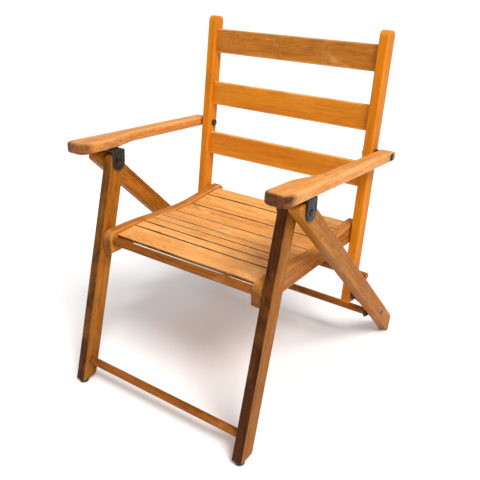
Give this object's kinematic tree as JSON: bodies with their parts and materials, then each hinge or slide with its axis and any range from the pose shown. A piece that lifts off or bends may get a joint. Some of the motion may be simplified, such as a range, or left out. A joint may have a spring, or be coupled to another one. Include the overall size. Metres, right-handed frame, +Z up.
{
  "type": "folding wooden armchair",
  "caption": "Child-size folding wooden armchair: slatted seat and back, broad flat arms, crossed legs, steel brackets and links.",
  "frame": {"origin": "on the floor, under the middle of the open chair's bounding box", "axes": "+Z up, the sitter faces -Y, +X is the sitter's left"},
  "size_m": [0.3852, 0.4372, 0.5292],
  "materials": {
    "leg_wood": "lacquered, worn",
    "post_wood": "lacquered",
    "arm_wood": "lacquered, worn",
    "rail_wood": "lacquered, worn",
    "seat_slat_wood": "lacquered, worn pale",
    "back_slat_wood": "lacquered",
    "top_slat_wood": "lacquered, scuffed",
    "dowel_wood": "lacquered",
    "black_steel": "blackened, worn",
    "bolt_steel": "dark oxidised",
    "glide_plastic": "matte"
  },
  "bodies": {
    "front_frame": {"left_front_leg": "leg_wood", "right_front_leg": "leg_wood", "front_stretcher": "dowel_wood", "left_glide": "glide_plastic", "right_glide": "glide_plastic"},
    "arms": {"left_arm": "arm_wood", "right_arm": "arm_wood", "left_arm_bracket": "black_steel", "right_arm_bracket": "black_steel", "bracket_screws": "bolt_steel", "left_bracket_bolt": "bolt_steel", "right_bracket_bolt": "bolt_steel", "bracket_rings": "bolt_steel", "left_arm_bolt": "bolt_steel", "right_arm_bolt": "bolt_steel", "arm_nuts": "bolt_steel", "pivot_spacers": "bolt_steel"},
    "seat": {"left_seat_rail": "rail_wood", "right_seat_rail": "rail_wood", "seat_slat_1": "seat_slat_wood", "seat_slat_2": "seat_slat_wood", "seat_slat_3": "seat_slat_wood", "seat_slat_4": "seat_slat_wood", "seat_slat_5": "seat_slat_wood", "seat_slat_6": "seat_slat_wood", "seat_slat_7": "seat_slat_wood", "seat_slat_8": "seat_slat_wood", "seat_front_dowel": "dowel_wood", "seat_rear_pins": "bolt_steel"},
    "back": {"left_back_post": "post_wood", "right_back_post": "post_wood", "lower_back_slat": "back_slat_wood", "middle_back_slat": "back_slat_wood", "top_back_slat": "top_slat_wood", "stop_dowel": "dowel_wood"},
    "rear_legs": {"left_rear_leg": "leg_wood", "right_rear_leg": "leg_wood", "rear_leg_screws": "bolt_steel"},
    "links": {"left_link": "black_steel", "right_link": "black_steel", "link_rivets": "bolt_steel", "rear_stretcher": "dowel_wood"}
  },
  "joints": [
    {"name": "arm_fold", "type": "hinge", "parent": "front_frame", "child": "arms", "pos_m": [0, -0.10246, 0.343], "axis": [-1, 0, 0], "range_deg": [0, 85.4]},
    {"name": "seat_fold", "type": "hinge", "parent": "front_frame", "child": "seat", "pos_m": [0, -0.13846, 0.229], "axis": [-1, 0, 0], "range_deg": [0, 82.6]},
    {"name": "rear_leg_fold", "type": "hinge", "parent": "front_frame", "child": "rear_legs", "pos_m": [0, -0.10246, 0.343], "axis": [-1, 0, 0], "range_deg": [0, 60.7]},
    {"name": "back_fold", "type": "hinge", "parent": "arms", "child": "back", "pos_m": [0, 0.13304, 0.3514], "axis": [-1, 0, 0], "range_deg": [-76.9, 0]},
    {"name": "link_fold", "type": "hinge", "parent": "back", "child": "links", "pos_m": [0, 0.09494, 0.125], "axis": [-1, 0, 0], "range_deg": [0, 176.8]}
  ],
  "couplings": [
    {"joint": "seat_fold", "follows": "arm_fold", "ratio": 0.96609},
    {"joint": "rear_leg_fold", "follows": "arm_fold", "ratio": 0.71},
    {"joint": "back_fold", "follows": "arm_fold", "ratio": -0.90014},
    {"joint": "link_fold", "follows": "arm_fold", "ratio": 2.0701}
  ]
}
